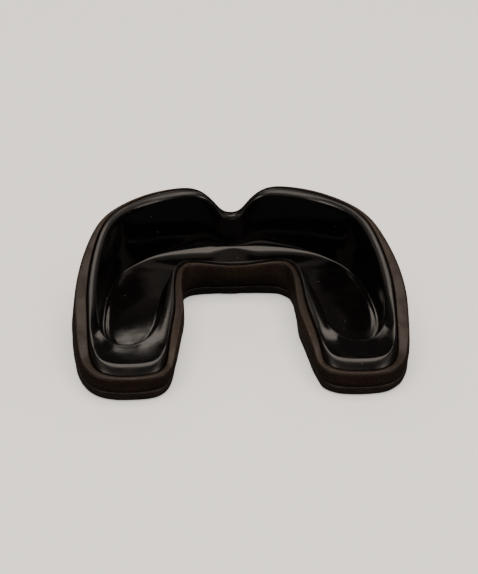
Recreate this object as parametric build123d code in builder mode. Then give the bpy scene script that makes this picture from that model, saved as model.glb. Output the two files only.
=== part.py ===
from build123d import *

import os
from math import atan2, hypot, tan

# Two-layer boil-and-bite mouthguard for the upper teeth, in millimetres.
#
# Three moulded pieces are stacked from the bite side up: a bite pad, a rubber frame
# that carries the impact, and a gloss fitting liner that takes the teeth. The guard
# stands on its bite side. +Z is up, +Y points to the lips, and the two legs run back
# to the heels at -Y. It is the same on both sides of X = 0.

# ---- overall form
arch_width = 68.0
arch_depth = 47.0
front_height = 20.0
leg_width = 22.8  # cheek side to tongue side of one leg, beside the molars
heel_width = 19.4  # one leg's back end, taken from the full width to its inner corner
front_thickness = 14.2  # lip side to tongue side at the middle

# ---- plan of the arch, from the lips round to the heel
front_flat = 15.0  # half of the nearly flat front, taken to its unrounded corner
shoulder_in = 4.4  # the canine corner stands in from the full width by this
shoulder_back = 10.7  # and behind the front by this
widest_forward = 19.0  # the full width is reached this far in front of the heels
molar_run = 7.5  # straight stretch beside the molars
heel_taper = 2.8
waist_forward = 15.5  # the tongue side turns here, measured from the heels
throat_taper = 0.7
front_round = 26.0
canine_round = 22.0
molar_round = 30.0
cheek_end_round = 14.0
heel_round = 8.5  # on the cheek side
heel_inner_round = 3.4
waist_round = 30.0
throat_round = 4.0

# ---- bite pad
pad_thickness = 2.2
pad_edge_round = 0.7
pad_inset = 0.05  # the pad stands in from the full outline by this
tongue_tuck = 0.8  # and by this more on the tongue side, under the frame's overhang
tread_depth = 0.5
tread_width = 1.0
tread_length = 11.0
tread_pitch = 2.6
tread_count = 7

# ---- frame
frame_floor = 1.3
frame_tuck = 0.4  # the frame's bottom edge stands in from the full outline by this
frame_lean = 1.2  # the front wall leans in by this from its belly to the rim
frame_front_wall = 1.5
frame_cheek_wall = 2.4
frame_heel_wall = 1.1
frame_tongue_wall = 1.9
frame_lip_wall = 1.5
frame_heel_height = 5.8
frame_step = 0.4  # the liner stands this far above the frame round the rim
belly_rise = 3.0  # from the frame's bottom up to its full width

# ---- liner
liner_floor = 1.9
liner_front_wall = 1.7
liner_cheek_wall = 2.6
liner_tongue_wall = 1.7
liner_lip_wall = 1.4
liner_deck = 6.1  # flat behind the last molar
liner_heel_height = 7.8
tongue_rim_height = 9.4
channel_draft = 1.0  # each wall of the tooth channel is thicker by this at the floor
channel_end_round = 5.6
channel_lean = 0.4
channel_waist = 9.0  # the channel's draft ends at this height
pit_depth = 0.9
pit_margin = 1.8  # channel floor left beside a molar pit
pit_length = 20.0
pit_forward = 20.0  # the pit's middle, measured from the heels
pit_turn = 6.0  # degrees, the molar rows close in towards the front

# ---- notch over the frenum
notch_depth = 7.0
notch_half_width = 8.5

# ---- worked out from the sizes above
half_width = arch_width / 2
front_y = arch_depth / 2
heel_y = -arch_depth / 2
widest_y = heel_y + widest_forward
lip_y = front_y - front_thickness
tongue_x = half_width - leg_width
frame_bottom = pad_thickness
belly_height = frame_bottom + belly_rise
liner_bottom = frame_bottom + frame_floor
channel_floor = liner_bottom + liner_floor
cut_reach = 1.0  # cutters pass the solids that they cut by this
above = front_height + 4.0  # lofts and cutters end here, clear of the rim
most_of_edge = 0.97  # of an edge that the roundings at its two ends may use up

# The outer form's corners on the right half, as (x, y, corner radius).
outer_corners = [
    (front_flat, front_y, front_round),
    (half_width - shoulder_in, front_y - shoulder_back, canine_round),
    (half_width, widest_y, molar_round),
    (half_width, widest_y - molar_run, cheek_end_round),
    (half_width - heel_taper, heel_y, heel_round),
    (half_width - heel_width, heel_y, heel_inner_round),
    (tongue_x, heel_y + waist_forward, waist_round),
    (tongue_x - throat_taper, lip_y, throat_round),
]

# Side views of the rims, as shares of (way from the heel to the end, rise).
rim_rise = [(0.0, 0.0), (0.17, 0.03), (0.35, 0.20), (0.57, 0.56), (0.80, 0.87), (1.0, 1.0)]
tongue_rise = [(0.0, 0.0), (0.2, 0.1), (0.5, 0.7), (0.8, 1.0)]

# Front view of one side of the notch, as shares of (half width, depth).
notch_slope = [(0.30, 0.66), (0.62, 0.20)]


def crossing(p, along_p, q, along_q):
    """Where the line through p meets the line through q."""
    across = along_p[0] * along_q[1] - along_p[1] * along_q[0]
    t = ((q[0] - p[0]) * along_q[1] - (q[1] - p[1]) * along_q[0]) / across
    return (p[0] + t * along_p[0], p[1] + t * along_p[1])


def held_to_room(corners, radii):
    """Each corner's radius, limited to what the edges beside it can hold."""
    count = len(corners)
    reach = []
    for i in range(count):
        (ax, ay), (bx, by), (cx, cy) = corners[i - 1], corners[i], corners[(i + 1) % count]
        turn = atan2(cy - by, cx - bx) - atan2(by - ay, bx - ax)
        reach.append(abs(tan(turn / 2)))
    held = list(radii)
    for i in range(count):
        j = (i + 1) % count
        length = hypot(corners[j][0] - corners[i][0], corners[j][1] - corners[i][1])
        share = most_of_edge * length / (radii[i] * reach[i] + radii[j] * reach[j])
        held[i] = min(held[i], radii[i] * share)
        held[j] = min(held[j], radii[j] * share)
    return held


def drawn_in(front=0.0, cheek=0.0, heel=0.0, tongue=0.0, lip=0.0, end_round=None):
    """The U outline's corners and radii, with each side drawn in by its own wall."""
    right = [(x, y) for x, y, _ in outer_corners]
    loop = right + [(-x, y) for x, y in reversed(right)]
    side_walls = [cheek, cheek, cheek, cheek, heel, tongue, tongue]
    walls = side_walls + [lip] + side_walls[::-1] + [front]
    edges = []
    for (ax, ay), (bx, by), wall in zip(loop, loop[1:] + loop[:1], walls):
        length = hypot(bx - ax, by - ay)
        dx, dy = (bx - ax) / length, (by - ay) / length
        edges.append(((ax + dy * wall, ay - dx * wall), (dx, dy)))
    corners = [crossing(*edges[i - 1], *edges[i]) for i in range(len(edges))]
    taken_off = [max(front, cheek), cheek, cheek, cheek, heel, heel, tongue, -tongue]
    radii = [max(corner[2] - off, 1.0) for corner, off in zip(outer_corners, taken_off)]
    if end_round:
        radii[4] = radii[5] = end_round
    return corners, held_to_room(corners, radii + radii[::-1])


def arch_sketch(z, **walls):
    """A flat U-shaped face at height z."""
    corners, radii = drawn_in(**walls)
    with BuildSketch(Plane.XY.offset(z)) as face:
        with BuildLine():
            FilletPolyline(*corners, radius=radii, close=True)
        make_face()
    return face.sketch


def above_line(rise, end_y, low, high, beyond):
    """Everything above a rim's side view, which is level behind and beyond its ends."""
    way = end_y - heel_y
    points = [(heel_y + along * way, low + up * (high - low)) for along, up in rise]
    with BuildPart() as block:
        with BuildSketch(Plane.YZ):
            with BuildLine():
                Spline(*points, tangents=((1, 0), (1, 0)))
                Polyline(
                    points[-1],
                    (beyond, points[-1][1]),
                    (beyond, above),
                    (heel_y - cut_reach, above),
                    (heel_y - cut_reach, low),
                    points[0],
                )
            make_face()
        extrude(amount=half_width + cut_reach, both=True)
    return block.part


def tongue_side(low, high):
    """What lies above the low tongue rim, out to the middle of the tooth channel."""
    middle = frame_cheek_wall + liner_cheek_wall + 3 * channel_draft
    corners, radii = drawn_in(front=middle, cheek=middle)
    half = corners[:4] + [(corners[4][0], heel_y - cut_reach)]
    ends = radii[:4] + [0.0]
    with BuildPart() as block:
        with BuildSketch(Plane.XY):
            with BuildLine():
                FilletPolyline(
                    *half,
                    *[(-x, y) for x, y in reversed(half)],
                    radius=ends + ends[::-1],
                    close=True,
                )
            make_face()
        extrude(amount=above)
        add(above_line(tongue_rise, lip_y, low, high, front_y), mode=Mode.INTERSECT)
    return block.part


# ---- notch for the frenum, cut through the frame and the liner alike
with BuildPart() as notch:
    with BuildSketch(Plane.XZ.offset(-front_y - cut_reach)):
        with BuildLine():
            bottom = (0, front_height - notch_depth)
            rim_end = (notch_half_width, front_height)
            slope = [
                (out * notch_half_width, front_height - down * notch_depth)
                for out, down in notch_slope
            ]
            Spline(bottom, *slope, rim_end, tangents=((1, 0), (1, 0)))
            Polyline(rim_end, (notch_half_width, above), (0, above))
            mirror(about=Plane.YZ)
        make_face()
    extrude(amount=front_thickness - frame_lip_wall - liner_lip_wall)

# ---- the room inside the frame, which the liner fills
with BuildPart() as liner_form:
    loft(
        [
            arch_sketch(
                z,
                front=frame_front_wall + lean,
                cheek=frame_cheek_wall + lean / 2,
                heel=frame_heel_wall,
                tongue=frame_tongue_wall,
                lip=frame_lip_wall,
            )
            for z, lean in (
                (liner_bottom, 0.0),
                (belly_height + belly_rise, 0.15 * frame_lean),
                (above, 1.1 * frame_lean),
            )
        ]
    )

# ---- tooth channel, open at the top
with BuildPart() as channel:
    loft(
        [
            arch_sketch(
                z,
                front=frame_front_wall + liner_front_wall + lean,
                cheek=frame_cheek_wall + liner_cheek_wall + draft,
                heel=frame_heel_wall + liner_deck + draft,
                tongue=frame_tongue_wall + liner_tongue_wall + draft,
                lip=frame_lip_wall + liner_lip_wall + draft,
                end_round=channel_end_round - draft,
            )
            for z, lean, draft in (
                (channel_floor, channel_draft, channel_draft),
                (channel_waist, channel_lean, 0.0),
                (above, frame_lean, 0.0),
            )
        ]
    )

# ---- bite pad: the layer that meets the lower teeth
with BuildPart() as bite_pad:
    with BuildSketch() as pad_outline:
        sides = dict.fromkeys(("front", "cheek", "heel", "lip"), pad_inset)
        add(arch_sketch(0, tongue=pad_inset + tongue_tuck, **sides))
    extrude(amount=pad_thickness)
    fillet(bite_pad.faces().sort_by(Axis.Z)[0].edges(), pad_edge_round)
    # tread under the molars, in shallow blind grooves
    with BuildSketch(Plane.XY):
        for side in (1, -1):
            for step in range(tread_count):
                tread_y = heel_y + pit_forward + (step - (tread_count - 1) / 2) * tread_pitch
                with Locations((side * (tongue_x + half_width) / 2, tread_y)):
                    SlotOverall(tread_length, tread_width)
    extrude(amount=tread_depth, mode=Mode.SUBTRACT)

# ---- frame: the rubber tray round the liner
with BuildPart() as outer_frame:
    loft(
        [
            arch_sketch(z, front=front, cheek=cheek, heel=cheek, tongue=tongue, lip=cheek)
            for z, front, cheek, tongue in (
                (frame_bottom, frame_tuck, frame_tuck, frame_tuck + tongue_tuck),
                (belly_height, 0.0, 0.0, 0.4 * tongue_tuck),
                (front_height / 2, 0.2 * frame_lean, 0.1 * frame_lean, 0.0),
                (above, 1.2 * frame_lean, 0.6 * frame_lean, 0.0),
            )
        ]
    )
    add(liner_form.part, mode=Mode.SUBTRACT)
    rim = above_line(
        rim_rise,
        front_y - frame_front_wall - liner_front_wall,
        frame_heel_height,
        front_height - frame_step,
        front_y + cut_reach,
    )
    add(rim, mode=Mode.SUBTRACT)
    add(tongue_side(frame_heel_height, tongue_rim_height - frame_step), mode=Mode.SUBTRACT)
    add(notch.part, mode=Mode.SUBTRACT)

# ---- liner: softens in hot water and takes the print of the teeth
channel_inner = tongue_x + frame_tongue_wall + liner_tongue_wall + channel_draft
channel_outer = half_width - frame_cheek_wall - liner_cheek_wall - channel_draft
with BuildPart() as fit_liner:
    add(liner_form.part)
    add(channel.part, mode=Mode.SUBTRACT)
    rim = above_line(
        rim_rise,
        front_y - frame_front_wall - liner_front_wall,
        liner_heel_height,
        front_height,
        front_y + cut_reach,
    )
    add(rim, mode=Mode.SUBTRACT)
    add(tongue_side(liner_heel_height, tongue_rim_height), mode=Mode.SUBTRACT)
    add(notch.part, mode=Mode.SUBTRACT)
    # a shallow pit for the molars in each leg of the channel
    with BuildSketch(Plane.XY.offset(channel_floor)):
        for side in (1, -1):
            pit_middle = (side * (channel_inner + channel_outer) / 2, heel_y + pit_forward)
            with Locations(Location(pit_middle, 90 + side * pit_turn)):
                SlotOverall(pit_length, channel_outer - channel_inner - 2 * pit_margin)
    extrude(amount=-pit_depth, mode=Mode.SUBTRACT)

os.makedirs("parts", exist_ok=True)

bite_pad.part.label = "bite_pad"
export_step(bite_pad.part, "parts/bite_pad.step")

outer_frame.part.label = "outer_frame"
export_step(outer_frame.part, "parts/outer_frame.step")

fit_liner.part.label = "fit_liner"
export_step(fit_liner.part, "parts/fit_liner.step")
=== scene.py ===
import math

import bmesh
import bpy
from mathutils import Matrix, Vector, geometry, noise


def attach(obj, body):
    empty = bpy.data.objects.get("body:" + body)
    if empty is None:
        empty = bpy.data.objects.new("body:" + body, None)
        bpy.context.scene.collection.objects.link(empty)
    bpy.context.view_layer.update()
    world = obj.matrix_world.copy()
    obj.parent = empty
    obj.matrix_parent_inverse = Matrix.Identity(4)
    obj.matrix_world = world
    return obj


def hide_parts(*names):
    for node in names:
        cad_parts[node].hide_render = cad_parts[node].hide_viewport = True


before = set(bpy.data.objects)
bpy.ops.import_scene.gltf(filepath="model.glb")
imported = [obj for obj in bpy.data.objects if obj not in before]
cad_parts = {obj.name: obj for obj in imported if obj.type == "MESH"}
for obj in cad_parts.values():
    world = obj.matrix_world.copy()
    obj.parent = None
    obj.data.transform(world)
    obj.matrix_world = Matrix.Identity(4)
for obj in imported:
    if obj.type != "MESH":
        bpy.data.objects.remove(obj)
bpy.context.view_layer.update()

mm = 0.001
print("frame loaded:", ", ".join(sorted(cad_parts)))


# Right half from the lips round the heel to the tongue side, in mm. A stop is x, y,
# heading in degrees, and the reach of its curve handles before and after it.
plan = {
    "body": [
        (0, 23.44, 0, 0, 10.4), (26.4, 14.6, -45, 12.9, 6.3), (33.95, -7.0, -94, 7.6, 11.6),
        (23.0, -23.5, -180, 8.8, 10.2), (11.5, -7.7, -259, 11.6, 6.0), (9.5, 8.4, -214, 3.1, 2.2),
        (0, 9.3, -180, 4.2, 0),
    ],
    "mouth": [  # inner edge of the tooth channel, narrow in front of the molars
        (0, 19.75, 0, 0, 8.0), (22.5, 13.1, -42, 8.1, 6.2), (28.9, -5.8, -90, 5.2, 5.4),
        (22.8, -14.4, -180, 3.8, 3.2), (15.5, -4.0, -260, 5.6, 6.2), (12.0, 8.8, -228, 2.8, 2.7),
        (0, 11.0, -180, 4.8, 0),
    ],
    "points": [40, 24, 22, 22, 24, 40],  # between the stops, the same on both sides of the heel
}
heelStop = 3


def halfCurve(stops):
    points = []
    for (ax, ay, aTurn, _, reachOut), (bx, by, bTurn, reachIn, _), count in zip(
            stops, stops[1:], plan["points"]):
        a, b = Vector((ax, ay, 0)), Vector((bx, by, 0))
        leave = Vector((math.cos(math.radians(aTurn)), math.sin(math.radians(aTurn)), 0))
        arrive = Vector((math.cos(math.radians(bTurn)), math.sin(math.radians(bTurn)), 0))
        points += geometry.interpolate_bezier(
            a, a + leave * reachOut, b - arrive * reachIn, b, count + 1)[:-1]
    return points + [Vector((stops[-1][0], stops[-1][1], 0))]


def wholeLoop(half, flip):
    # cheek side from the left heel to the right one, then back along the tongue side
    heel = sum(plan["points"][:heelStop])
    cheek, tongue = half[:heel], half[heel + 1:]
    return ([flip(p) for p in reversed(cheek[1:])] + cheek
            + tongue + [flip(p) for p in reversed(tongue[:-1])])


def mirrored(p):
    return Vector((-p.x, p.y, 0))


def sideways(loop):
    # unit vectors pointing away from the loop's inside
    result = []
    for i in range(len(loop)):
        run = (loop[(i + 1) % len(loop)] - loop[i - 1]).normalized()
        result.append(Vector((-run.y, run.x, 0)))
    return result


body = wholeLoop(halfCurve(plan["body"]), mirrored)
mouth = wholeLoop(halfCurve(plan["mouth"]), mirrored)
bodyOut, mouthOut = sideways(body), sideways(mouth)
halfWay = [stop + k / count for stop, count in enumerate(plan["points"]) for k in range(count)]
way = wholeLoop(halfWay + [len(plan["points"])], lambda w: w)
loopSize = len(body)


def curveAt(points, x):
    # a smooth curve through (x, value) points that doesn't overshoot them
    if x <= points[0][0]:
        return points[0][1]
    if x >= points[-1][0]:
        return points[-1][1]
    slopes = [(b[1] - a[1]) / (b[0] - a[0]) for a, b in zip(points, points[1:])]
    bends = [0.0]
    for s, t in zip(slopes, slopes[1:]):
        bends.append(2 * s * t / (s + t) if s * t > 0 else 0.0)
    bends.append(0.0)
    k = max(i for i in range(len(slopes)) if x >= points[i][0])
    span = points[k + 1][0] - points[k][0]
    t = (x - points[k][0]) / span
    return (points[k][1] * (1 + 2 * t) * (1 - t) ** 2 + span * bends[k] * t * (1 - t) ** 2
            + points[k + 1][1] * t * t * (3 - 2 * t) + span * bends[k + 1] * t * t * (t - 1))


def along(values):
    # one value for each stop of the plan, eased to every point of the loop
    return [curveAt(list(enumerate(values)), w) for w in way]


# heights and walls that the pieces share
rims = {  # (y, height) along the rims, and (x, depth) of the notch at the lips
    "crest": [(-23.5, 7.35), (-18, 8.1), (-14.5, 8.9), (-11, 10.2), (-4, 12.8), (4, 16.4),
              (12, 19.45), (17, 20)],
    "frame": [(-23.5, 5.7), (-18.5, 6.0), (-14.5, 7.5), (-11, 9.4), (-4, 12.4), (4, 16.15),
              (12, 19.38), (17, 19.93)],
    "tongueCrest": [(-23.5, 7.35), (-18, 8.1), (-14, 8.6), (-4, 9.1), (7, 9.7)],
    "tongueFrame": [(-23.5, 5.7), (-20, 5.85), (-17.2, 7.2), (-14, 7.8), (-8, 8.2), (0, 8.7),
                    (7, 9.2)],
    "throatDip": 1.3,  # the tongue side's rim sinks by this at the middle of the throat
    "throatHalfWidth": 9.5,
    "notch": [(0, 7.1), (1.1, 6.95), (2.0, 6.3), (2.9, 5.1), (3.8, 3.75), (4.9, 2.45), (6.2, 1.3),
              (7.7, 0.52), (9.3, 0.13), (11.5, 0)],
    "belly": 5.0,
    "lean": 0.105,  # the walls lean in by this for each mm above the belly
    "flex": 0.6,  # the lip rim leans to one side by this
    "tuck": 0.75,  # the foot stands in by this under the tongue side
    "notchFrom": 10,  # only the rim in front of this is notched
}
walls = {  # a value at each stop of the plan
    "frame": along([0.8, 1.1, 2.5, 1.1, 1.8, 1.0, 0.5]),
    "groove": along([0.3, 0.22, 0.03, 0.1, 0.02, 0.02, 0.02]),
    "bevel": along([0.4, 0.45, 0.55, 1.15, 0.5, 0.35, 0.15]),
    "bevelRise": along([0.9, 0.9, 0.85, 0.92, 0.85, 0.9, 0.9]),
    "mouthDrop": along([0.6, 0.6, 0.6, 0.1, 0.8, 0.8, 0.2]),
    "draft": along([0.8, 0.8, 0.7, 0.4, 0.5, 0.4, 0.4]),
    "fillet": along([3.3, 0.3, 0.9, 1.1, 1.3, 1.0, 1.0]),
    "shelf": along([0, 0.1, 0.4, 0, 0, 0, 0]),  # a soft step down beyond the fillet
}
base = 2.2  # top of the bite pad
cavity = 3.5  # floor of the frame, where the liner starts


def rimHeight(i, cheekLine, tongueLine):
    x, y = abs(body[i].x), body[i].y
    if way[i] <= heelStop:
        z = curveAt(rims[cheekLine], y)
        return z - curveAt(rims["notch"], x) if y > rims["notchFrom"] else z
    dip = rims["throatDip"] * max(0, 1 - (x / rims["throatHalfWidth"]) ** 2) if way[i] > 5 else 0
    return curveAt(rims[tongueLine], y) - dip


crest = [rimHeight(i, "crest", "tongueCrest") for i in range(loopSize)]
slope = [
    (crest[(i + 1) % loopSize] - crest[i - 1]) / (body[(i + 1) % loopSize] - body[i - 1]).length
    for i in range(loopSize)
]
# a drop of this many times a length lies square to the rim where the notch is steep
steep = [math.sqrt(1 + k * k) for k in slope]
frameRim = [crest[i] - (crest[i] - rimHeight(i, "frame", "tongueFrame")) * steep[i]
            for i in range(loopSize)]


def leanAt(z):
    return rims["lean"] * max(0, z - rims["belly"])


def bodyPoint(i, inset, z):
    p = body[i] - bodyOut[i] * (inset + leanAt(z))
    return Vector((p.x, p.y, z))


def mouthPoint(i, inset, z):
    p = mouth[i] - mouthOut[i] * inset
    return Vector((p.x, p.y, z))


def bridgeAcross(bm, ringNumber, cuts):
    # closes a ring with a ladder of faces from its cheek side to its tongue side
    stop, ring = bm.verts.layers.int["stop"], bm.verts.layers.int["ring"]
    order = sorted((v for v in bm.verts if v[ring] == ringNumber), key=lambda v: v[stop])
    cheek, tongue = order[:loopSize // 2], order[loopSize // 2:]
    rails = [bm.edges.get((a, b)) for side in (cheek, tongue) for a, b in zip(side, side[1:])]
    row = bm.faces.layers.int["row"]
    for face in bmesh.ops.bridge_loops(bm, edges=rails)["faces"]:
        face[row] = 1 + min(v[stop] for v in face.verts)  # counted from the left heel
    rungs = [bm.edges.get((a, b)) for a, b in zip(cheek, reversed(tongue))]
    shine = bm.verts.layers.float["polish"]
    level = order[0][shine]
    cut = bmesh.ops.subdivide_edges(bm, edges=rungs, cuts=cuts, use_grid_fill=True)
    for v in cut["geom_inner"]:
        if isinstance(v, bmesh.types.BMVert):
            v[ring] = 0
            v[shine] = level


def flexed(p):
    # a fitted guard is never quite even: its lip rim leans to one side
    share = curveAt([(2, 0), (19, 1)], p.z) * curveAt([(-8, 0), (20, 1)], p.y)
    return p - Vector((rims["flex"] * share, 0, 0))


def ringPiece(name, rings, cuts, finish=None, polish=None):
    bm = bmesh.new()
    stop = bm.verts.layers.int.new("stop")
    ringLayer = bm.verts.layers.int.new("ring")
    bm.faces.layers.int.new("row")
    shine = bm.verts.layers.float.new("polish")
    for i, v in enumerate(bmesh.ops.create_circle(bm, segments=loopSize, radius=1)["verts"]):
        v[stop] = i
        v[ringLayer] = 1
        v.co = flexed(rings[0][i]) * mm
    edges = list(bm.edges)
    for number, ring in enumerate(rings[1:], 2):
        grown = bmesh.ops.extrude_edge_only(bm, edges=edges)["geom"]
        last = {g for g in grown if isinstance(g, bmesh.types.BMVert)}
        edges = [g for g in grown if isinstance(g, bmesh.types.BMEdge) and last.issuperset(g.verts)]
        for v in last:
            v[ringLayer] = number
            v[shine] = polish(number, v[stop]) if polish else 0
            v.co = flexed(ring[v[stop]]) * mm
    bridgeAcross(bm, 1, cuts)
    if finish:
        finish(bm)
    bridgeAcross(bm, len(rings), cuts)
    bmesh.ops.recalc_face_normals(bm, faces=bm.faces)
    for f in bm.faces:
        f.smooth = True
    mesh = bpy.data.meshes.new(name)
    bm.to_mesh(mesh)
    bm.free()
    piece = bpy.data.objects.new(name, mesh)
    bpy.context.collection.objects.link(piece)
    return piece


def ringOf(place, inset, height):
    return [place(i, inset(i), height(i)) for i in range(loopSize)]


def tongueTuck(i):
    # the lower pieces stand in under the frame's rim on the tongue side
    return rims["tuck"] * curveAt([(3.2, 0), (3.8, 1)], way[i])


def makeBitePad():
    size = {"edge": 0.75, "flat": 1.15, "trim": 0.16, "trimLength": 2.2, "grooveDeep": 0.5,
            "grooveRim": 0.14, "grooveEvery": 3, "grooveFrom": 1.3, "grooveTo": 2.35,
            "grooveIn": 17.5, "grooveOut": 28.5}
    steps = [  # inset, height
        (size["flat"], 0), (size["edge"], 0), (0.36, 0.1), (0.1, 0.38), (0.03, 0.75),
        (0.0, 1.3), (0.0, base - 0.3), (0.1, base - 0.1), (0.26, base), (0.7, base),
    ]
    rings = [ringOf(bodyPoint, lambda i: inset + tongueTuck(i), lambda i: z) for inset, z in steps]
    for ring in rings[1:7]:
        for i, p in enumerate(ring):  # a trimmed edge wanders a little, always inwards
            ring[i] = p - bodyOut[i] * size["trim"] * (0.5 + noise.noise(p / size["trimLength"]))

    def cutTread(bm):
        row = bm.faces.layers.int["row"]
        grooves = []
        for face in bm.faces:
            k = face[row] - 1
            fromMiddle = int(abs(k + 0.5 - loopSize / 4))
            if k < 0 or fromMiddle % size["grooveEvery"]:
                continue
            if not size["grooveFrom"] < way[k] < size["grooveTo"]:
                continue
            if size["grooveIn"] < abs(face.calc_center_median().x) / mm < size["grooveOut"]:
                grooves.append(face)
        bmesh.ops.recalc_face_normals(bm, faces=bm.faces)
        bmesh.ops.inset_region(
            bm, faces=grooves, thickness=size["grooveRim"] * mm, use_even_offset=True)
        floor = {v for face in grooves for v in face.verts}
        bmesh.ops.translate(bm, verts=list(floor), vec=(0, 0, size["grooveDeep"] * mm))

    return ringPiece("bitePad", rings, cuts=9, finish=cutTread)


def makeOuterFrame():
    size = {
        "foot": [(1.2, 0), (0.6, 0), (0.36, 0.07), (0.17, 0.28)],  # inset, height above the pad
        "side": [  # inset, share of the wall's height, with the parting line as the fourth
            (0.05, 0.2), (0, 0.34), (0, 0.42), (0.05, 0.445), (0, 0.47), (0, 0.56), (0, 0.68),
            (0, 0.82),
        ],
        "edge": [(0.03, 0.4), (0.12, 0.15), (0.32, 0)],  # inset, depth below the rim
        "grooveDeep": 0.06, "wallDrop": 0.5, "innerGap": 0.02,
    }
    wall, groove = walls["frame"], walls["groove"]

    def side(inset, rise):
        # up the outside, where the tongue side swells out from the tucked foot
        def place(i):
            return inset + tongueTuck(i) * curveAt([(0, 1), (0.2, 0.55), (0.6, 0.1), (1, 0)], rise)
        return ringOf(bodyPoint, place, lambda i: base + (frameRim[i] - base) * rise)

    def top(inset, below):
        return ringOf(bodyPoint, inset, lambda i: frameRim[i] - below * steep[i])

    rings = [ringOf(bodyPoint, lambda i: inset + tongueTuck(i), lambda i: base + up)
             for inset, up in size["foot"]]
    rings += [side(inset, rise) for inset, rise in size["side"]]
    rings += [top(lambda i: inset, below) for inset, below in size["edge"]]
    rings += [  # the crown of the rim, its inner edge, and down to the frame's floor
        top(lambda i: wall[i] * 0.55, -0.03),
        top(lambda i: wall[i] - 0.2, 0.01),
        ringOf(bodyPoint, lambda i: wall[i] - groove[i],
               lambda i: frameRim[i] - (size["grooveDeep"] + groove[i]) * steep[i]),
        top(lambda i: wall[i], size["wallDrop"]),
        ringOf(bodyPoint, lambda i: wall[i], lambda i: (frameRim[i] + cavity) / 2),
        ringOf(bodyPoint, lambda i: wall[i], lambda i: cavity + 0.1),
        ringOf(bodyPoint, lambda i: wall[i] + 0.1, lambda i: cavity - size["innerGap"]),
        ringOf(bodyPoint, lambda i: wall[i] + 0.6, lambda i: cavity - size["innerGap"]),
    ]
    return ringPiece("outerFrame", rings, cuts=5)


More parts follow.
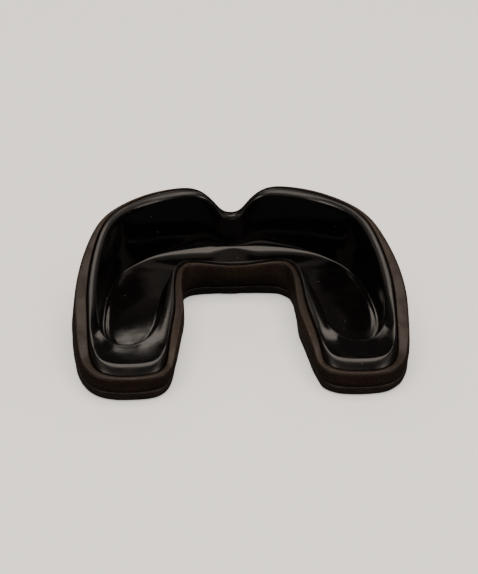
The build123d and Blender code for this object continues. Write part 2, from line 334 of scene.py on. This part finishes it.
def makeFitLiner():
    size = {
        "gap": 0.03, "frontFloor": 6.2, "cupTop": 5.9, "cupFloor": 4.7, "cupFrom": 0.74,
        "cupTo": 0.92, "notchThin": 0.7, "wave": 0.1, "waveLength": 7.0,
        "bevelEnd": 1.25,  # of the bevel's width, where the deck starts
        "edgeInset": 0.14, "edgeDrop": 0.6,  # the rounding at the mouth ends here
        "wallEnd": 0.92,  # of the fillet's radius, where the wall ends
    }
    wall, bevel, groove = walls["frame"], walls["bevel"], walls["groove"]
    drop, draft, shelf = walls["mouthDrop"], walls["draft"], walls["shelf"]
    edgeZ = [frameRim[i] + (crest[i] - frameRim[i]) * walls["bevelRise"][i]
             for i in range(loopSize)]
    # the front wall runs into the floor more sharply below the notch, and it thins
    # towards the bottom of the notch, which keeps its rim one width
    fillet, thin = list(walls["fillet"]), [0] * loopSize
    for i in range(loopSize):
        if way[i] < 1:
            fillet[i] *= curveAt([(0, 0.2), (7, 1)], abs(mouth[i].x))
            thin[i] = size["notchThin"] * curveAt([(1.5, 1), (7, 0)], abs(mouth[i].x))
    # the channel's floor steps down into the cups and rises a little behind the molars
    depth = [(size["cupFrom"], size["frontFloor"]), (size["cupTo"], size["cupTop"]),
             (2.2, size["cupFloor"]), (heelStop, size["cupFloor"] + 0.1)]
    floor = [curveAt(depth, min(w, len(plan["points"]) - w)) for w in way]
    foot = [floor[i] + shelf[i] for i in range(loopSize)]

    # 1 round the back of each cup, where a fine bead stands up at the mouth
    heel = [curveAt([(0.45, 1), (1.15, 0)], abs(w - heelStop)) for w in way]

    def topPoint(i, share, mmIn, z):
        # across the liner's top: mmIn from its wall, then a share of the way to the mouth
        outer = bodyPoint(i, wall[i] + size["gap"], z)
        inner = mouthPoint(i, -thin[i], z)
        start = outer + (inner - outer).normalized() * mmIn
        return start.lerp(inner, share)

    def inside(inset, height):
        # pressed walls are never quite true
        ring = ringOf(mouthPoint, inset, height)
        for i, p in enumerate(ring):
            ring[i] = p - mouthOut[i] * noise.noise(p / size["waveLength"]) * size["wave"]
        return ring

    rings = [
        ringOf(bodyPoint, lambda i: wall[i] + 0.6, lambda i: cavity),
        ringOf(bodyPoint, lambda i: wall[i] + size["gap"] + 0.1, lambda i: cavity),
        ringOf(bodyPoint, lambda i: wall[i] + size["gap"], lambda i: cavity + 0.1),
        ringOf(bodyPoint, lambda i: wall[i] + size["gap"], lambda i: frameRim[i] - 0.9 * steep[i]),
        ringOf(bodyPoint, lambda i: wall[i] + size["gap"] + groove[i],
               lambda i: frameRim[i] - (0.1 + groove[i]) * steep[i]),
    ]
    for share, up in ((0.45, 0.35), (0.85, 0.8), (size["bevelEnd"], 1.0)):
        rings.append([
            topPoint(i, 0, bevel[i] * share, frameRim[i] + (edgeZ[i] - frameRim[i]) * up)
            for i in range(loopSize)
        ])
    for share, up, raised in ((0.3, 0.6, 0), (0.62, 0.95, 0), (0.82, 1.0, 0.02), (0.93, 1.0, 0.07)):
        rings.append([
            topPoint(i, share, bevel[i] * size["bevelEnd"],
                     edgeZ[i] + (crest[i] - edgeZ[i]) * up + raised * heel[i]
                     - drop[i] * steep[i] * curveAt([(0.4, 0), (1, 0.8)], share))
            for i in range(loopSize)
        ])
    mouthZ = [crest[i] - drop[i] * steep[i] for i in range(loopSize)]
    for inset, below in ((-0.06, 0.02), (0.07, 0.2), (size["edgeInset"], size["edgeDrop"])):
        rings.append(ringOf(mouthPoint, lambda i: inset - thin[i],
                            lambda i: mouthZ[i] - below * steep[i]))
    wallTop = [mouthZ[i] - size["edgeDrop"] * steep[i] for i in range(loopSize)]
    for share in (0.3, 0.55, 0.8, 1.0):
        rings.append(inside(
            lambda i: (size["edgeInset"] + (draft[i] - size["edgeInset"]) * share
                       - thin[i] * (1 - share)),
            lambda i: wallTop[i] + (foot[i] + fillet[i] * size["wallEnd"] - wallTop[i]) * share,
        ))
    for turn in (25, 45, 65, 88):
        a = math.radians(turn)
        rings.append(inside(
            lambda i: draft[i] + fillet[i] * (1 - math.cos(a)),
            lambda i: foot[i] + fillet[i] * (1 - math.sin(a)),
        ))
    for inset, down in ((0.25, 0.1), (0.6, 0.6), (1.0, 0.97)):
        rings.append(inside(
            lambda i: draft[i] + fillet[i] + inset,
            lambda i: foot[i] - shelf[i] * down,
        ))

    def polish(number, i):
        # glossy on the heel decks, rings 8 to 11, and in the channel, ring 14 on; satin between
        channel = curveAt([(13, 0), (14.5, 1)], number)
        deck = curveAt([(7, 0), (8, 1)], number) * curveAt([(11, 1), (12, 0.3)], number)
        return max(channel, deck * heel[i])

    return ringPiece("fitLiner", rings, cuts=5, polish=polish)


pieces = {
    "bite_pad": makeBitePad(),
    "outer_frame": makeOuterFrame(),
    "fit_liner": makeFitLiner(),
}
for piece in pieces.values():
    subdivide = piece.modifiers.new("smooth", "SUBSURF")
    subdivide.levels = subdivide.render_levels = 1
print("shaped", ", ".join(p.name for p in pieces.values()))


def toLinear(hexCode):
    channels = [int(hexCode[k:k + 2], 16) / 255 for k in (1, 3, 5)]
    return [c / 12.92 if c <= 0.04045 else ((c + 0.055) / 1.055) ** 2.4 for c in channels] + [1]


def addNode(tree, kind, settings=None, links=None):
    # a key is a property or a socket of the node; a socket may go by its number
    node = tree.nodes.new(kind)
    for key, value in (settings or {}).items():
        if isinstance(key, int) or key in node.inputs:
            node.inputs[key].default_value = value
        else:
            setattr(node, key, value)
    for key, source in (links or {}).items():
        tree.links.new(source, node.inputs[key])
    return node


def polymer(name, look):
    # moulded polymer: cloudy colour, matt and shiny patches, worn high edges, grain and dust
    material = bpy.data.materials.new(name)
    material.use_nodes = True
    tree = material.node_tree
    shader = tree.nodes["Principled BSDF"]
    shader.inputs["IOR"].default_value = look["ior"]
    where = addNode(tree, "ShaderNodeTexCoord").outputs["Object"]
    clouds = {}
    for use, across, detail, distortion in (
            ("colour", look["cloud"], 4, 0), ("wear", 1.2, 4, 0),
            ("grain", look["grain"], 2, 0), ("smudge", look["smudge"], 5, 0.6)):
        clouds[use] = addNode(tree, "ShaderNodeTexNoise", {
            "Scale": 1 / (across * mm), "Detail": detail, "Distortion": distortion,
        }, {"Vector": where}).outputs["Fac"]

    ramp = addNode(tree, "ShaderNodeValToRGB", links={"Fac": clouds["colour"]})
    ramp.color_ramp.elements.new(0.5)
    for element, place, shade in zip(
            ramp.color_ramp.elements, (0.3, 0.55, 0.75), ("dark", "main", "pale")):
        element.position = place
        element.color = toLinear(look[shade])
    edges = addNode(tree, "ShaderNodeNewGeometry").outputs["Pointiness"]
    high = addNode(tree, "ShaderNodeMapRange", {
        "From Min": 0.52, "From Max": 0.62, "To Max": look["wear"],
    }, {"Value": edges}).outputs["Result"]
    rubbed = addNode(tree, "ShaderNodeMapRange", {
        "From Min": 0.35, "From Max": 0.6, "To Min": 0.2,
    }, {"Value": clouds["wear"]}).outputs["Result"]
    worn = addNode(tree, "ShaderNodeMath", {"operation": "MULTIPLY"},
                   {0: high, 1: rubbed}).outputs["Value"]
    lint = addNode(tree, "ShaderNodeTexVoronoi", {
        "Scale": 1 / (look["dustApart"] * mm), "Randomness": 1.0}, {"Vector": where})
    dust = addNode(tree, "ShaderNodeMapRange", {
        "From Min": look["dustSize"], "From Max": look["dustSize"] * 0.6, "To Max": look["dust"],
    }, {"Value": lint.outputs["Distance"]}).outputs["Result"]
    grain = addNode(tree, "ShaderNodeMapRange", {
        "From Min": 0.35, "From Max": 0.65, "To Max": look["grainShade"],
    }, {"Value": clouds["grain"]}).outputs["Result"]
    colour = ramp.outputs["Color"]
    for factor, hexCode in ((grain, "#050303"), (worn, look["wornColour"]), (dust, "#8d847a")):
        colour = addNode(tree, "ShaderNodeMix", {"data_type": "RGBA", 7: toLinear(hexCode)},
                         {0: factor, 6: colour}).outputs[2]
    tree.links.new(colour, shader.inputs["Base Color"])

    patches = addNode(tree, "ShaderNodeMapRange", {
        "From Min": 0.4, "From Max": 0.65, "To Min": look["rough"][0], "To Max": look["rough"][1],
    }, {"Value": clouds["smudge"]}).outputs["Result"]
    if "roughInside" in look:
        polished = addNode(tree, "ShaderNodeAttribute", {"attribute_name": "polish"}).outputs["Fac"]
        glossy = addNode(tree, "ShaderNodeMapRange", {
            "From Min": 0.4, "From Max": 0.65,
            "To Min": look["roughInside"][0], "To Max": look["roughInside"][1],
        }, {"Value": clouds["smudge"]}).outputs["Result"]
        patches = addNode(tree, "ShaderNodeMix", {"data_type": "FLOAT"},
                          {0: polished, 2: patches, 3: glossy}).outputs[0]
    scuffed = addNode(tree, "ShaderNodeMath", {
        "operation": "MULTIPLY_ADD", "use_clamp": True, 1: 0.25,
    }, {0: worn, 2: patches}).outputs["Value"]
    tree.links.new(scuffed, shader.inputs["Roughness"])

    relief = None
    for across, height, strength in look["relief"]:
        bumps = addNode(tree, "ShaderNodeTexNoise", {
            "Scale": 1 / (across * mm), "Detail": 2}, {"Vector": where}).outputs["Fac"]
        links = {"Height": bumps, "Normal": relief} if relief else {"Height": bumps}
        relief = addNode(tree, "ShaderNodeBump", {
            "Strength": strength, "Distance": height * mm}, links).outputs["Normal"]
    tree.links.new(relief, shader.inputs["Normal"])
    return material


materials = {
    # nitrile-like rubber from a spark-eroded mould: brown-black, a soft satin sheen, fine grain
    "outer_frame": polymer("spark-eroded moulded rubber", {
        "ior": 1.36, "dark": "#241911", "main": "#2e2118", "pale": "#382a1f", "cloud": 9.0,
        "wear": 0.5, "wornColour": "#4b4037", "dustApart": 2.4, "dustSize": 0.06, "dust": 0.5,
        "grain": 0.45, "grainShade": 0.6, "smudge": 3.5, "rough": (0.4, 0.58),
        "relief": [(2.6, 0.08, 0.5), (0.45, 0.06, 0.8)]}),
    # denser rubber of the bite side, duller
    "bite_pad": polymer("dense pressed rubber", {
        "ior": 1.46, "dark": "#1f1610", "main": "#281d16", "pale": "#33271e", "cloud": 6.0,
        "wear": 0.35, "wornColour": "#40362d", "dustApart": 2.0, "dustSize": 0.07, "dust": 0.5,
        "grain": 0.5, "grainShade": 0.6, "smudge": 2.5, "rough": (0.5, 0.68),
        "relief": [(1.8, 0.08, 0.6), (0.5, 0.07, 0.9)]}),
    # EVA that was softened in hot water and pressed: deep glossy black, slightly rippled
    "fit_liner": polymer("flame-glossed EVA", {
        "ior": 1.49, "dark": "#060505", "main": "#090707", "pale": "#100c0b", "cloud": 7.0,
        "wear": 0.25, "wornColour": "#2b2622", "dustApart": 3.2, "dustSize": 0.05, "dust": 0.4,
        "grain": 0.8, "grainShade": 0.2, "smudge": 4.0, "rough": (0.3, 0.42),
        "roughInside": (0.09, 0.19),
        "relief": [(3.2, 0.05, 0.4), (0.5, 0.01, 0.35)]}),
}
for node, piece in pieces.items():
    piece.data.materials.append(materials[node])
    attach(piece, "root")
    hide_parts(node)
print("materials on")


def makeFloor():
    size = {"across": 3.0, "rough": 0.9, "glow": 0.48}
    bm = bmesh.new()
    bmesh.ops.create_grid(bm, x_segments=1, y_segments=1, size=size["across"] / 2)
    mesh = bpy.data.meshes.new("floor")
    bm.to_mesh(mesh)
    bm.free()
    floor = bpy.data.objects.new("floor", mesh)
    bpy.context.collection.objects.link(floor)
    paint = bpy.data.materials.new("pale matt floor")
    paint.use_nodes = True
    shader = paint.node_tree.nodes["Principled BSDF"]
    shader.inputs["Base Color"].default_value = toLinear("#f4f3f1")
    shader.inputs["Roughness"].default_value = size["rough"]
    shader.inputs["Emission Color"].default_value = toLinear("#fffdfb")  # a lit table top
    shader.inputs["Emission Strength"].default_value = size["glow"]
    mesh.materials.append(paint)
    # the shiny walls mirror the dark studio, and the table throws no light back up
    floor.visible_glossy = floor.visible_diffuse = False


def softbox(name, place, target, size, glow):
    light = bpy.data.lights.new(name, "AREA")
    light.color = toLinear("#fff1e4")[:3]
    light.shape = "RECTANGLE"
    light.size, light.size_y = size
    light.energy = glow * math.pi * size[0] * size[1]  # glow is the panel's own brightness
    obj = bpy.data.objects.new(name, light)
    bpy.context.collection.objects.link(obj)
    obj.location = place
    obj.rotation_euler = (Vector(target) - obj.location).to_track_quat("-Z", "Y").to_euler()


def makeCamera():
    view = {"azimuth": -4.8, "elevation": 37.3, "distance": 0.4, "target": (0, 0, 0.008),
            "lens": 123.7, "sensor": 36, "roll": 1.7, "shift": (-0.00052265, 0.01254355)}
    data = bpy.data.cameras.new("camera")
    data.lens = view["lens"]
    data.sensor_width = view["sensor"]
    camera = bpy.data.objects.new("camera", data)
    bpy.context.collection.objects.link(camera)
    a, e = math.radians(view["azimuth"]), math.radians(view["elevation"])
    back = Vector((math.sin(a) * math.cos(e), -math.cos(a) * math.cos(e), math.sin(e)))
    target = Vector(view["target"])
    camera.location = target + back * view["distance"]
    camera.rotation_euler = (-back).to_track_quat("-Z", "Y").to_matrix().to_euler()
    camera.rotation_euler.rotate_axis("Z", math.radians(view["roll"]))
    data.shift_x, data.shift_y = view["shift"]
    bpy.context.scene.camera = camera


makeFloor()
softbox("overhead", (0, -0.05, 0.6), (0, -0.05, 0), (0.7, 0.6), 3.5)
softbox("side left", (-0.8, -0.15, 0.45), (0, 0, 0), (0.5, 0.5), 0.7)
softbox("side right", (0.8, -0.15, 0.45), (0, 0, 0), (0.5, 0.5), 0.9)
softbox("front fill", (-0.15, -1.0, 0.3), (0, 0, 0), (0.7, 0.35), 0.6)
softbox("front left", (-0.8, -0.7, 0.16), (0, 0, 0), (0.4, 0.24), 7.0)
softbox("front right", (0.8, -0.7, 0.16), (0, 0, 0), (0.4, 0.24), 7.0)
softbox("behind left", (-0.3, 0.85, 0.56), (0, 0, 0), (0.6, 0.34), 2.7)
softbox("behind right", (0.55, 0.75, 0.5), (0, 0, 0), (0.4, 0.3), 2.4)
makeCamera()
world = bpy.data.worlds.new("studio")
world.use_nodes = True
backdrop = world.node_tree.nodes["Background"]
backdrop.inputs["Color"].default_value = toLinear("#f2f2f2")
backdrop.inputs["Strength"].default_value = 0.06
bpy.context.scene.world = world
print("studio lit")

bpy.context.view_layer.update()
